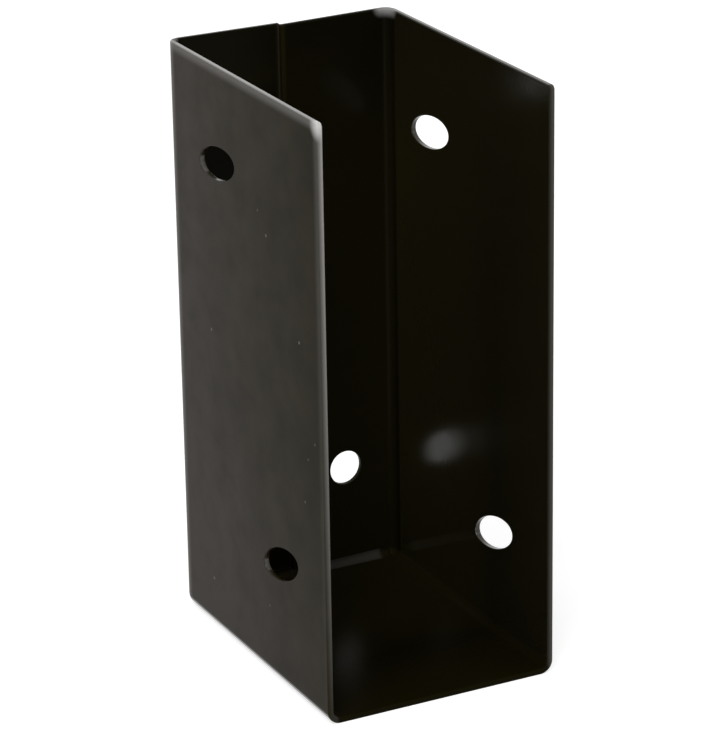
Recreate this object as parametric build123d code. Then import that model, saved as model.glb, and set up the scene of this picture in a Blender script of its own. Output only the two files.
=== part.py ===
from build123d import *
from math import atan2, cos, tan
import os

# U bracket: a rail hanger folded from one piece of sheet steel.
#
# Two side walls stand on a floor. At the back each wall folds inwards as a flange, and the floor
# folds up as a low tab under the flanges. The left flange is square to its wall. The right one is
# folded a little past square, so that its free end laps in front of the left flange's.
# The front and the top are open, so a rail drops in. Screws go through ovals in the walls and
# round holes in the flanges.
# Millimetres. X runs across the width, Y from the open front (-Y) to the back (+Y), Z up.
# The origin is the centre of the bracket's footprint, on the surface that it stands on.

# Overall size
outer_width = 42.0
outer_depth = 56.0
outer_height = 102.0

# Sheet, its folds and its cut edges
sheet_thickness = 1.0
bend_inner_radius = 1.3
wall_corner_radius = 0.8
cut_edge_radius = 0.3
hole_edge_radius = 0.15

# Back: where the flanges lap, and the tab under them
seam_offset = -0.6
flange_clearance = 0.2
flange_lap = 0.4
tab_height = 2.4
slit_width = 0.15

# Screw ovals in the walls: their long axis falls towards the back, more in the lower row
oval_length = 13.4
oval_height = 5.7
upper_oval_tilt = 10.2
lower_oval_tilt = 18.5
left_upper_oval_from_back = 18.9
left_upper_oval_from_top = 16.5
left_lower_oval_from_front = 16.6
left_lower_oval_from_bottom = 22.3
right_upper_oval_from_back = 15.6
right_upper_oval_from_top = 18.3
right_lower_oval_from_front = 18.6
right_lower_oval_from_bottom = 18.6

# Screw holes in the flanges
back_hole_diameter = 6.2
back_hole_from_side = 10.8
back_hole_from_top = 17.0
back_hole_from_bottom = 19.6

# Worked out from the sizes above
bend_outer_radius = bend_inner_radius + sheet_thickness
half_width = outer_width / 2
front_y = -outer_depth / 2
back_y = outer_depth / 2
flat_half_width = half_width - bend_outer_radius
flange_bottom_z = tab_height + slit_width
left_flange_end_x = seam_offset + flange_lap / 2
right_flange_end_x = seam_offset - flange_lap / 2
lap_step = sheet_thickness + flange_clearance
right_flange_lean = atan2(lap_step, half_width - right_flange_end_x)
fold_front_y = back_y - lap_step - bend_outer_radius / cos(right_flange_lean) - slit_width


def block(x_range, y_range, z_range):
    """A square-edged block that spans three ranges."""
    low = (x_range[0], y_range[0], z_range[0])
    size = [end - start for start, end in (x_range, y_range, z_range)]
    return Pos(*low) * Box(*size, align=(Align.MIN, Align.MIN, Align.MIN))


def tub(inset, lean, radius):
    """A block as large as the bracket less an inset, rounded where the sheet is folded.

    Its back turns about the right back corner by the lean, towards the front at the left.
    """
    side_x = half_width - inset
    right_y = back_y - inset * tan(lean) - inset / cos(lean)
    left_y = right_y - 2 * side_x * tan(lean)
    plan = Polygon(
        (-side_x, front_y), (side_x, front_y), (side_x, right_y), (-side_x, left_y), align=None
    )
    body = Pos(0, 0, inset) * extrude(plan, outer_height - inset)
    upright_folds = body.edges().filter_by(Axis.Z).sort_by(Axis.Y)[-2:]
    floor_folds = body.edges().group_by(Axis.Z)[0].sort_by(Axis.Y)[1:]
    return fillet(upright_folds + floor_folds, radius)


def folded_shell(lean):
    """Floor, walls and back of the bracket as one tray, open in front and on top."""
    outside = tub(0, lean, bend_outer_radius)
    inside = tub(sheet_thickness, lean, bend_inner_radius)
    return outside - inside


def floor_walls_and_flanges():
    """The bracket with its two flanges, cut clear above the place of the floor's tab."""
    depth_range = (front_y, back_y)
    height_range = (0, outer_height)
    left = folded_shell(0) & block((-half_width, left_flange_end_x), depth_range, height_range)
    right = folded_shell(right_flange_lean) & block(
        (right_flange_end_x, half_width), depth_range, height_range
    )
    behind_floor = block(
        (-flat_half_width, flat_half_width),
        (fold_front_y, back_y + sheet_thickness),
        (-sheet_thickness, flange_bottom_z),
    )
    return left + right - behind_floor


def floor_tab():
    """The back strip of the floor, folded up as a low tab with a slit at each end."""
    half_length = flat_half_width - slit_width
    return folded_shell(0) & block(
        (-half_length, half_length), (fold_front_y, back_y), (0, tab_height)
    )


def oval_hole(side, y, z, tilt):
    """What one oval takes out of a wall. The side is -1 for the left wall and 1 for the right."""
    outline = Rot(0, 0, -tilt) * Ellipse(oval_length / 2, oval_height / 2)
    wall_x = side * half_width
    return Pos(wall_x - 2 * sheet_thickness, y, z) * extrude(Plane.YZ * outline, 4 * sheet_thickness)


def oval_holes():
    """An upper and a lower oval through each wall."""
    left_upper_y = back_y - left_upper_oval_from_back
    left_lower_y = front_y + left_lower_oval_from_front
    right_upper_y = back_y - right_upper_oval_from_back
    right_lower_y = front_y + right_lower_oval_from_front
    return [
        oval_hole(-1, left_upper_y, outer_height - left_upper_oval_from_top, upper_oval_tilt),
        oval_hole(-1, left_lower_y, left_lower_oval_from_bottom, lower_oval_tilt),
        oval_hole(1, right_upper_y, outer_height - right_upper_oval_from_top, upper_oval_tilt),
        oval_hole(1, right_lower_y, right_lower_oval_from_bottom, lower_oval_tilt),
    ]


def back_holes():
    """One round hole through each flange, both along the depth, as the screws go in."""
    hole_x = half_width - back_hole_from_side
    drill = Cylinder(back_hole_diameter / 2, 6 * sheet_thickness, rotation=(90, 0, 0))
    left = Pos(-hole_x, back_y, outer_height - back_hole_from_top) * drill
    right = Pos(hole_x, back_y, back_hole_from_bottom) * drill
    return [left, right]


def round_wall_corners(body):
    """Round the top front corner of each wall, in the plane of the sheet."""
    corners = body.edges().filter_by(Axis.X).group_by(Axis.Z)[-1].group_by(Axis.Y)[0]
    return fillet(corners, wall_corner_radius)


def round_cut_edges(body):
    """Take the sharpness off the front and top rims."""
    rim = [
        edge
        for edge in body.edges()
        if edge.center().Y < front_y + wall_corner_radius
        or edge.center().Z > outer_height - wall_corner_radius
    ]
    return fillet(rim, cut_edge_radius)


def round_hole_edges(body):
    """Take the sharpness off both rims of every screw hole."""
    flat_faces = body.faces().filter_by(GeomType.PLANE)
    rims = [edge for face in flat_faces for wire in face.inner_wires() for edge in wire.edges()]
    return fillet(rims, hole_edge_radius)


def u_bracket():
    """The whole bracket, one folded piece."""
    body = round_cut_edges(round_wall_corners(floor_walls_and_flanges() + floor_tab()))
    return round_hole_edges(body - oval_holes() - back_holes())


os.makedirs("parts", exist_ok=True)
export_step(u_bracket(), "parts/u_bracket.step")
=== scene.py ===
"""U bracket: the black coat of the folded sheet, a pale floor, soft studio light and the camera."""
import math

import bpy
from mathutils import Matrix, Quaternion, Vector


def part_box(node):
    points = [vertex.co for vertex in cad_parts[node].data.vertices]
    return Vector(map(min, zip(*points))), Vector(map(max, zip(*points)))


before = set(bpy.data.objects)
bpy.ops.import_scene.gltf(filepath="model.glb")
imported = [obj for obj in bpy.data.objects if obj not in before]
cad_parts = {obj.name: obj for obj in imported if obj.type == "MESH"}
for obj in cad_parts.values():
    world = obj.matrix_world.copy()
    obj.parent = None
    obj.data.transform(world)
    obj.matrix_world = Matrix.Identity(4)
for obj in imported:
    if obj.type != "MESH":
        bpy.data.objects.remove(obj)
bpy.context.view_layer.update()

BRACKET = "u_bracket"
MM = 0.001

# Camera: where it stands, the point it looks at, its roll and its lens
CAMERA_PLACE = Vector((-252.2, -497.6, 260.3)) * MM
CAMERA_AIM = Vector((0.05, -0.5, 49.85)) * MM
CAMERA_ROLL = math.radians(-0.92)
CAMERA_LENS = 176.85
CAMERA_CLIP = 10 * MM

# Studio: how bright the surroundings are, 1 being white, and the point that the lamps face
WHITE = 1.0
AMBIENT = 0.45
FLOOR_COLOUR = (0.80, 0.80, 0.80)
FLOOR_GLOW = 0.60
FLOOR_SIZE = 6.0
LAMP_AIM = Vector((0, 0, 51)) * MM

# Lamps: azimuth, elevation, distance, size and radiance
LAMPS = {
    "key": (-50, 45, 1.0, 0.6, 4.0),
    "fill": (60, 35, 1.1, 0.6, 1.5),
    "rim": (170, 25, 1.0, 0.7, 0.4),
}

# Sheet and its folds
SHEET = 1.0 * MM
FOLD_RADIUS = 2.3 * MM
RIGHT_FLANGE_SLOPE = 0.055

# Coat colours: all over, then inside the bracket with painted shade and painted light, then painted
# light outside, painted highlights, painted glints and dust
COAT_DARK = (0.0125, 0.0100, 0.0026)
COAT_LIGHT = (0.0195, 0.0160, 0.0050)
# Painted shade inside the bracket, and painted light deep in and low down on the inner walls
INNER_SHADE_COAT = (0.0092, 0.0079, 0.0032)
DEEP_LIGHT_COAT = (0.055, 0.047, 0.014)
# Painted shade on the flanges, strongest low down on the left one
FLANGE_SHADE_COAT = (0.0020, 0.0016, 0.0003)
LAP_COAT = (0.0125, 0.0106, 0.0030)
# Painted shade on the inner floor at the front, turning to painted light towards the back
SEAT_SHADE_COAT = (0.0080, 0.0066, 0.0015)
DEEP_SEAT_LIGHT_COAT = (0.031, 0.026, 0.007)
# Painted light: the tab's strip is light grey, standing in for light seen through the gap under the
# flanges
TAB_LIGHT_COAT = (0.095, 0.088, 0.075)
# Painted light on the outsides of the walls and the backs of the flanges
PAINTED_LIGHT_COAT = (0.050, 0.0435, 0.0375)
# Painted highlights on the folds, the foot and the cut edges
HIGHLIGHT_COAT = (0.46, 0.445, 0.425)
# Painted glints at two corners of the rim
GLINT_COAT = (0.62, 0.61, 0.60)
DUST = (0.16, 0.155, 0.145)

# How strongly the colours above cover the coat, 1 being fully
INNER_SHARE = 0.85
FLANGE_SHADE_SHARE = (0.60, 0.88)
# Shares of the painted light on the outsides: towards the back, at the foot, on the flange backs, and
# its mottle
SIDE_PAINTED_LIGHT = 0.9
FOOT_PAINTED_LIGHT = 0.40
BACK_PAINTED_LIGHT = 0.5
PAINTED_LIGHT_MOTTLE = (0.75, 1.3)
# Shares of the painted highlights on the folds, the foot, the rim and the edges
FOLD_HIGHLIGHT = 0.40
FOOT_HIGHLIGHT = 0.20
RIM_HIGHLIGHT = 0.24
RIGHT_EDGE_HIGHLIGHT = 0.17
LEFT_EDGE_INWARD = (0.12, 1.0)
LEFT_EDGE_RISE = (0.05, 1.0)

# Depths under the right, back and top faces, in sheets, at which a place on the coat starts and is full
SKIN = (0.15, 0.03)
LEANING_SKIN = (0.3, 0.1)
OUTER_HALF = (0.6, 0.4)
INNER_SIDE = (0.7, 0.9)
INNER_BACK = (0.5, 0.9)
RIGHT_WALL = (3.0, 1.6)
RIGHT_EDGE = (1.3, 0.0)
BACK_ZONE = (3.6, 3.0)
OFF_BACK_ZONE = (3.6, 4.6)
BACK_FOLD = (1.6 * FOLD_RADIUS / SHEET, 0.5 * FOLD_RADIUS / SHEET)
TAB_FACE = (FOLD_RADIUS / SHEET + 0.1, FOLD_RADIUS / SHEET - 0.1)
TAB_END = (3.6, 4.6)
RIM_BAND = (1.9, 0.2)
RIM_TOP = (0.6, 0.3)
UNDER_RIM = (9.0, 14.0)

# Distances from the left, front and bottom faces, in sheets, at which a place starts and is full
LEFT_WALL = (2.0, 1.5)
FRONT_BAND = (2.0, 0.2)
RIGHT_FRONT_BAND = (0.6, 0.2)
CUT_FACE = (0.5, 0.25)
OFF_CUT_FACE = (0.1, 0.4)
FLOOR = (2.3, 1.3)
FLOOR_AND_FOLDS = (3.2, 2.5)
OFF_UNDERSIDE = (0.8, 1.0)
TAB_TOP = (2.6, 2.4)
FOOT_FOLD = (0.8 * FOLD_RADIUS / SHEET, 0.0)
MIRROR_HEIGHT = (24.0, 14.0)
PAINTED_LIGHT_HEIGHT = 45.0
LIGHTER_FROM_FRONT = 18.0
LIGHTEST_HEIGHT = 15.0

# Places across the width, in sheets from the middle
TAB_START = (1.5, 3.5)
RIGHT_FLANGE = (-1.0, -0.8)
LEFT_FLANGE = (1.0, -1.0)
LAP_START = (-1.6, -0.8)
LAP_END = (0.2, -0.3)

# Painted glints on the rim: where they lie from a corner of the box, and how far they reach, in sheets
FRONT_SPOT = Vector((0.6, 0.0, -0.4))
FRONT_SPOT_REACH = 3.0
BACK_SPOT = Vector((-2.2, -2.4, 0.2))
BACK_SPOT_REACH = 2.4
SPOT_CORE = 0.1

# Gloss: roughness, and shine as the shader's specular level
GLOSS_ROUGHNESS = (0.16, 0.22)
MATTE_ROUGHNESS = 0.22
FOOT_ROUGHNESS = 0.08
EDGE_SHINE = 0.5
INNER_SHINE = 0.11
FLANGE_SHINE = 0.02
FOOT_SHINE = 0.9
MATTE_SHINE = 0.015
BACK_RIM_DULLNESS = 0.75

# Noise: scale, detail and roughness, and the part of it that is used
BLOTCHES = (140.0, 4.0, 0.6)
GLOSS_PATCHES = (160.0, 4.0, 0.6)
ORANGE_PEEL = (1500.0, 2.0, 0.5)
NOISE_RANGE = (0.3, 0.7)
BLOTCH_STOPS = (0.35, 0.70)
PEEL_STRENGTH = 0.05
PEEL_DEPTH = 0.2 * MM

# Dust: cells for each metre, a speck's reach from its cell's centre, and the random number that it needs
DUST_SCALE = 150.0
DUST_SIZE = (0.05, 0.02)
DUST_FROM = 0.72


def feed(tree, value, socket):
    """Give an input a number, a vector, a colour or another node's output."""
    if isinstance(value, bpy.types.NodeSocket):
        tree.links.new(value, socket)
    elif isinstance(value, tuple):
        socket.default_value = (*value, 1)
    else:
        socket.default_value = value


def add_node(tree, kind, **inputs):
    """A new node, with the given inputs fed by name."""
    made = tree.nodes.new(kind)
    for name, value in inputs.items():
        feed(tree, value, made.inputs[name])
    return made


def calculate(tree, operation, first, second, clamp=False):
    """The result of a math node."""
    made = tree.nodes.new("ShaderNodeMath")
    made.operation = operation
    made.use_clamp = clamp
    feed(tree, first, made.inputs[0])
    feed(tree, second, made.inputs[1])
    return made.outputs["Value"]


def product(tree, first, *others):
    """Factors multiplied."""
    for other in others:
        first = calculate(tree, "MULTIPLY", first, other)
    return first


def largest(tree, first, *others):
    """The largest of some factors."""
    for other in others:
        first = calculate(tree, "MAXIMUM", first, other)
    return first


def ranged(tree, value, start, end, at_start, at_end, kind="LINEAR"):
    """A value mapped from one range to another, and kept inside it."""
    made = add_node(tree, "ShaderNodeMapRange", Value=value)
    made.interpolation_type = kind
    made.inputs["From Min"].default_value = start
    made.inputs["From Max"].default_value = end
    made.inputs["To Min"].default_value = at_start
    made.inputs["To Max"].default_value = at_end
    return made.outputs["Result"]


def fade(tree, value, start, end):
    """A smooth factor from 0 at the start to 1 at the end of one coordinate."""
    return ranged(tree, value, start, end, 0.0, 1.0, "SMOOTHSTEP")


def under(tree, value, face, depths):
    """A smooth factor from 0 at the first depth under a face to 1 at the second, in sheets."""
    start, full = depths
    return fade(tree, value, face - start * SHEET, face - full * SHEET)


def beyond(tree, value, face, distances):
    """A smooth factor from 0 at the first distance past a place to 1 at the second, in sheets."""
    start, full = distances
    return fade(tree, value, face + start * SHEET, face + full * SHEET)


def blend(tree, factor, first, second):
    """Two colours mixed by a factor."""
    made = tree.nodes.new("ShaderNodeMix")
    made.data_type = "RGBA"
    factor_socket, first_socket, second_socket, mixed = 0, 6, 7, 2
    feed(tree, factor, made.inputs[factor_socket])
    feed(tree, first, made.inputs[first_socket])
    feed(tree, second, made.inputs[second_socket])
    return made.outputs[mixed]


def blend_number(tree, factor, first, second):
    """Two numbers mixed by a factor."""
    made = tree.nodes.new("ShaderNodeMix")
    factor_socket, first_socket, second_socket, mixed = 0, 2, 3, 0
    feed(tree, factor, made.inputs[factor_socket])
    feed(tree, first, made.inputs[first_socket])
    feed(tree, second, made.inputs[second_socket])
    return made.outputs[mixed]


def noise(tree, at, scale, detail, roughness):
    """Noise that is fixed to the bracket."""
    made = add_node(tree, "ShaderNodeTexNoise", Vector=at.point, Scale=scale, Detail=detail,
                    Roughness=roughness)
    return made.outputs["Fac"]


def empty_material(name):
    """A material with nothing but its output node."""
    material = bpy.data.materials.new(name)
    material.use_nodes = True
    tree = material.node_tree
    tree.nodes.clear()
    return material, tree, tree.nodes.new("ShaderNodeOutputMaterial")


class Place:
    """Where a point of the coat lies: shader outputs for its coordinates, and the bracket's box."""

    def __init__(self, tree):
        self.low, self.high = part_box(BRACKET)
        self.point = tree.nodes.new("ShaderNodeTexCoord").outputs["Object"]
        self.x, self.y, self.z = add_node(tree, "ShaderNodeSeparateXYZ", Vector=self.point).outputs
        self.sideways = calculate(tree, "ABSOLUTE", self.x, 0.0)


def inside_faces(tree, at):
    """The inner faces of the walls, flanges and floor."""
    across = under(tree, at.sideways, at.high.x, INNER_SIDE)
    along = under(tree, at.y, at.high.y, INNER_BACK)
    return product(tree, across, along)


def back_zone(tree, at):
    """The back of the bracket: the flanges and the folds that they start from."""
    return under(tree, at.y, at.high.y, BACK_ZONE)


def back_tab(tree, at):
    """Where the floor folds up as the tab, inside the bracket: the right half, short of the wall."""
    behind = under(tree, at.y, at.high.y, TAB_FACE)
    foot = beyond(tree, at.z, at.low.z, TAB_TOP)
    inside = beyond(tree, at.z, at.low.z, OFF_UNDERSIDE)
    start = beyond(tree, at.x, 0.0, TAB_START)
    end = under(tree, at.x, at.high.x, TAB_END)
    return product(tree, behind, foot, inside, start, end)


def flange_backs(tree, at):
    """The outsides of the flanges: the left one is square, and the right one leans forwards."""
    square = under(tree, at.y, at.high.y, SKIN)
    slant = product(tree, at.x, -RIGHT_FLANGE_SLOPE)
    upright = calculate(tree, "ADD", at.y, slant)
    outer = at.high.y - at.high.x * RIGHT_FLANGE_SLOPE
    leaning = under(tree, upright, outer, LEANING_SKIN)
    right_half = beyond(tree, at.x, 0.0, RIGHT_FLANGE)
    return largest(tree, square, product(tree, leaning, right_half))


def painted_light_sides(tree, at):
    """Painted light: the outsides of the walls, lighter towards the back and the foot."""
    left = beyond(tree, at.x, at.low.x, OUTER_HALF)
    right = under(tree, at.x, at.high.x, SKIN)
    off_edge = beyond(tree, at.y, at.low.y, OFF_CUT_FACE)
    back = ranged(tree, at.y, at.low.y, at.high.y, 0.0, SIDE_PAINTED_LIGHT)
    foot = ranged(tree, at.z, at.low.z + PAINTED_LIGHT_HEIGHT * SHEET, at.low.z, 0.0, FOOT_PAINTED_LIGHT)
    painted_light_share = calculate(tree, "ADD", back, foot, clamp=True)
    return product(tree, largest(tree, left, right), off_edge, painted_light_share)


def painted_fold_highlights(tree, at):
    """Painted highlights over the outside of the upright folds and along the foot of the walls."""
    outside = under(tree, at.sideways, at.high.x, OUTER_HALF)
    back = under(tree, at.y, at.high.y, BACK_FOLD)
    foot = beyond(tree, at.z, at.low.z, FOOT_FOLD)
    highlight = largest(tree, product(tree, back, FOLD_HIGHLIGHT), product(tree, foot, FOOT_HIGHLIGHT))
    return product(tree, highlight, outside)


def painted_edge_highlights(tree, at):
    """Painted highlights on cut edges: the left wall's front and rim, and the right wall's front."""
    left = beyond(tree, at.x, at.low.x, LEFT_WALL)
    inward = ranged(tree, at.x, at.low.x, at.low.x + SHEET, *LEFT_EDGE_INWARD)
    rise = ranged(tree, at.z, at.low.z, at.high.z, *LEFT_EDGE_RISE)
    front = beyond(tree, at.y, at.low.y, FRONT_BAND)
    left_front = product(tree, front, left, inward, rise)
    top = under(tree, at.z, at.high.z, RIM_BAND)
    left_rim = product(tree, top, left, RIM_HIGHLIGHT)
    outward = under(tree, at.x, at.high.x, RIGHT_EDGE)
    cut = beyond(tree, at.y, at.low.y, RIGHT_FRONT_BAND)
    right_front = product(tree, outward, cut, RIGHT_EDGE_HIGHLIGHT)
    return largest(tree, left_front, left_rim, right_front)


def dust(tree, at):
    """A few pale specks, each under half a millimetre, on the outside of the left wall."""
    cells = add_node(tree, "ShaderNodeTexVoronoi", Vector=at.point, Scale=DUST_SCALE)
    dots = ranged(tree, cells.outputs["Distance"], *DUST_SIZE, 0.0, 1.0)
    pick = add_node(tree, "ShaderNodeSeparateColor", Color=cells.outputs["Color"])
    few = calculate(tree, "GREATER_THAN", pick.outputs["Red"], DUST_FROM)
    left = beyond(tree, at.x, at.low.x, OUTER_HALF)
    return product(tree, dots, few, left)


def painted_glint(tree, at, corner, offset, reach):
    """A small painted glint near a corner of the box: 1 at its centre."""
    away = tree.nodes.new("ShaderNodeVectorMath")
    away.operation = "DISTANCE"
    feed(tree, at.point, away.inputs[0])
    feed(tree, Vector(corner) + offset * SHEET, away.inputs[1])
    return fade(tree, away.outputs["Value"], reach * SHEET, SPOT_CORE * reach * SHEET)


def painted_corner_glints(tree, at):
    """The rim's painted glints: the left wall's top front corner and the top of the right back fold."""
    left_front = (at.low.x, at.low.y, at.high.z)
    front = painted_glint(tree, at, left_front, FRONT_SPOT, FRONT_SPOT_REACH)
    back = painted_glint(tree, at, at.high, BACK_SPOT, BACK_SPOT_REACH)
    return largest(tree, front, back)


def plain_colour(tree, blotches):
    """The black of the coat, with faint blotches."""
    ramp = add_node(tree, "ShaderNodeValToRGB", Fac=blotches)
    dark, light = ramp.color_ramp.elements
    dark.position, light.position = BLOTCH_STOPS
    dark.color = (*COAT_DARK, 1)
    light.color = (*COAT_LIGHT, 1)
    return ramp.outputs["Color"]


def inner_colour(tree, at, colour, inner, flanges, tab):
    """The coat inside: painted shade, darkest on the flanges, painted light deep in and on the floor
    further back, lighter on the lap, and a painted light strip on the tab.
    """
    # Inner walls: painted shade near the top and front, turning to painted light deep in and low down
    inwards = ranged(tree, at.y, at.low.y + LIGHTER_FROM_FRONT * SHEET, at.high.y, 0.0, 1.0)
    downwards = ranged(tree, at.z, at.high.z, at.low.z + LIGHTEST_HEIGHT * SHEET, 0.0, 1.0)
    walls = blend(tree, product(tree, inwards, downwards), INNER_SHADE_COAT, DEEP_LIGHT_COAT)
    colour = blend(tree, product(tree, inner, INNER_SHARE), colour, walls)

    # Painted shade on the flanges, stronger to the left and under the rim; the lap along the seam is
    # lighter
    leftward = beyond(tree, at.x, 0.0, LEFT_FLANGE)
    lower = under(tree, at.z, at.high.z, UNDER_RIM)
    share = ranged(tree, product(tree, leftward, lower), 0.0, 1.0, *FLANGE_SHADE_SHARE)
    colour = blend(tree, product(tree, flanges, share), colour, FLANGE_SHADE_COAT)

    lap_start = beyond(tree, at.x, 0.0, LAP_START)
    lap_end = beyond(tree, at.x, 0.0, LAP_END)
    colour = blend(tree, product(tree, flanges, lap_start, lap_end), colour, LAP_COAT)

    # Inner floor: painted shade at the front, painted light towards the back
    seat = beyond(tree, at.z, at.low.z, FLOOR)
    seat_shade_and_light = blend(tree, inwards, SEAT_SHADE_COAT, DEEP_SEAT_LIGHT_COAT)
    colour = blend(tree, product(tree, seat, inner), colour, seat_shade_and_light)
    # Painted light on the tab's strip
    return blend(tree, tab, colour, TAB_LIGHT_COAT)


def outer_colour(tree, at, colour, blotches, backs):
    """The coat outside, with painted light: unevenly lighter on the walls and on the backs of the
    flanges.
    """
    painted_light = largest(tree, painted_light_sides(tree, at), product(tree, backs, BACK_PAINTED_LIGHT))
    mottle = ranged(tree, blotches, *NOISE_RANGE, *PAINTED_LIGHT_MOTTLE)
    return blend(tree, product(tree, painted_light, mottle), colour, PAINTED_LIGHT_COAT)


def highlight_and_dust_colour(tree, at, colour):
    """The coat with painted highlights on folds and edges, specks of dust and painted glints at corners.
    """
    colour = blend(tree, painted_fold_highlights(tree, at), colour, HIGHLIGHT_COAT)
    colour = blend(tree, painted_edge_highlights(tree, at), colour, HIGHLIGHT_COAT)
    colour = blend(tree, dust(tree, at), colour, DUST)
    return blend(tree, painted_corner_glints(tree, at), colour, GLINT_COAT)


def mirroring_foot(tree, at, inner):
    """The foot of the right wall's inner face, where the coat is glossy enough to mirror the tab."""
    near_floor = beyond(tree, at.z, at.low.z, MIRROR_HEIGHT)
    rightmost = under(tree, at.x, at.high.x, RIGHT_WALL)
    off_fold = under(tree, at.y, at.high.y, OFF_BACK_ZONE)
    return product(tree, near_floor, rightmost, off_fold, inner)


def matte_places(tree, at, inner, tab, backs):
    """Where the coat is matte: the outside, the floor, the tab, the front edges and the back rim."""
    flanks = under(tree, at.sideways, at.high.x, SKIN)
    low_down = beyond(tree, at.z, at.low.z, FLOOR_AND_FOLDS)
    cut = beyond(tree, at.y, at.low.y, CUT_FACE)
    rim = under(tree, at.z, at.high.z, RIM_TOP)
    back_rim = product(tree, back_zone(tree, at), rim, BACK_RIM_DULLNESS)
    return largest(tree, product(tree, low_down, inner), tab, cut, back_rim, flanks, backs)


def finish(tree, at, inner, flanges, tab, backs):
    """The coat's roughness and shine."""
    foot = mirroring_foot(tree, at, inner)
    matte = matte_places(tree, at, inner, tab, backs)
    patches = noise(tree, at, *GLOSS_PATCHES)
    roughness = ranged(tree, patches, *NOISE_RANGE, *GLOSS_ROUGHNESS)
    roughness = blend_number(tree, foot, roughness, FOOT_ROUGHNESS)
    roughness = blend_number(tree, matte, roughness, MATTE_ROUGHNESS)
    shine = blend_number(tree, inner, EDGE_SHINE, INNER_SHINE)
    shine = blend_number(tree, flanges, shine, FLANGE_SHINE)
    shine = blend_number(tree, foot, shine, FOOT_SHINE)
    shine = blend_number(tree, matte, shine, MATTE_SHINE)
    return roughness, shine


def black_coat():
    """Black powder coat: fine orange peel, uneven gloss, faint blotches, painted shade and painted
    light, and painted highlights on some edges and corners.
    """
    material, tree, output = empty_material("black_coat")
    at = Place(tree)
    blotches = noise(tree, at, *BLOTCHES)
    inner = inside_faces(tree, at)
    flanges = product(tree, back_zone(tree, at), inner)
    tab = back_tab(tree, at)
    backs = flange_backs(tree, at)
    colour = plain_colour(tree, blotches)
    colour = inner_colour(tree, at, colour, inner, flanges, tab)
    colour = outer_colour(tree, at, colour, blotches, backs)
    colour = highlight_and_dust_colour(tree, at, colour)
    roughness, shine = finish(tree, at, inner, flanges, tab, backs)
    peel = add_node(tree, "ShaderNodeBump", Strength=PEEL_STRENGTH, Distance=PEEL_DEPTH,
                    Height=noise(tree, at, *ORANGE_PEEL))
    coat = add_node(tree, "ShaderNodeBsdfPrincipled", IOR=1.5)
    feed(tree, colour, coat.inputs["Base Color"])
    feed(tree, roughness, coat.inputs["Roughness"])
    feed(tree, shine, coat.inputs["Specular IOR Level"])
    feed(tree, peel.outputs["Normal"], coat.inputs["Normal"])
    feed(tree, coat.outputs["BSDF"], output.inputs["Surface"])
    return material


def seen_or_mirrored(tree):
    """1 for what the camera sees, also by way of a mirror or through glass, and 0 for light."""
    rays = tree.nodes.new("ShaderNodeLightPath").outputs
    seen = calculate(tree, "ADD", rays["Is Camera Ray"], rays["Is Glossy Ray"])
    return calculate(tree, "ADD", seen, rays["Is Transmission Ray"], clamp=True)


def floor_material():
    """Pale paper. It is white to the camera and in the coat's reflections, and keeps the shadow."""
    material, tree, output = empty_material("pale_paper")
    paper = add_node(tree, "ShaderNodeBsdfDiffuse", Color=FLOOR_COLOUR)
    strength = product(tree, seen_or_mirrored(tree), FLOOR_GLOW)
    glow = add_node(tree, "ShaderNodeEmission", Color=(1, 1, 1), Strength=strength)
    both = tree.nodes.new("ShaderNodeAddShader")
    feed(tree, paper.outputs["BSDF"], both.inputs[0])
    feed(tree, glow.outputs["Emission"], both.inputs[1])
    feed(tree, both.outputs["Shader"], output.inputs["Surface"])
    return material


def pale_floor():
    """A plain square of pale paper under the bracket."""
    bpy.ops.mesh.primitive_plane_add(size=FLOOR_SIZE)
    floor = bpy.context.object
    floor.name = "floor"
    floor.data.materials.append(floor_material())


def studio_world():
    """White surroundings for what is seen or mirrored, and a softer level for the light they give."""
    world = bpy.data.worlds.new("studio")
    bpy.context.scene.world = world
    world.use_nodes = True
    tree = world.node_tree
    tree.nodes.clear()
    output = tree.nodes.new("ShaderNodeOutputWorld")
    strength = ranged(tree, seen_or_mirrored(tree), 0, 1, AMBIENT, WHITE)
    sky = add_node(tree, "ShaderNodeBackground", Color=(1, 1, 1), Strength=strength)
    feed(tree, sky.outputs["Background"], output.inputs["Surface"])


def softbox(name, azimuth, elevation, distance, size, radiance):
    """A square lamp that faces the bracket. Azimuth 0 is in front of it and 90 at its right."""
    turn = math.radians(azimuth)
    rise = math.radians(elevation)
    away = Vector((math.sin(turn) * math.cos(rise), -math.cos(turn) * math.cos(rise), math.sin(rise)))
    data = bpy.data.lights.new(name, "AREA")
    data.shape = "SQUARE"
    data.size = size
    data.energy = radiance * size * size * math.pi
    lamp = bpy.data.objects.new(name, data)
    lamp.location = LAMP_AIM + away * distance
    lamp.rotation_mode = "QUATERNION"
    lamp.rotation_quaternion = (-away).to_track_quat("-Z", "Y")
    bpy.context.scene.collection.objects.link(lamp)


def camera():
    """The camera at the picture's viewing angle."""
    data = bpy.data.cameras.new("camera")
    data.lens = CAMERA_LENS
    data.clip_start = CAMERA_CLIP
    eye = bpy.data.objects.new("camera", data)
    eye.location = CAMERA_PLACE
    eye.rotation_mode = "QUATERNION"
    look = (CAMERA_AIM - CAMERA_PLACE).to_track_quat("-Z", "Y")
    eye.rotation_quaternion = look @ Quaternion((0, 0, 1), CAMERA_ROLL)
    bpy.context.scene.collection.objects.link(eye)
    bpy.context.scene.camera = eye


def dress_bracket():
    """Give the CAD bracket its coat."""
    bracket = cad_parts[BRACKET]
    bracket.data.materials.clear()
    bracket.data.materials.append(black_coat())


dress_bracket()
pale_floor()
studio_world()
for lamp_name, setting in LAMPS.items():
    softbox(lamp_name, *setting)
camera()
bpy.context.scene.view_settings.view_transform = "Standard"
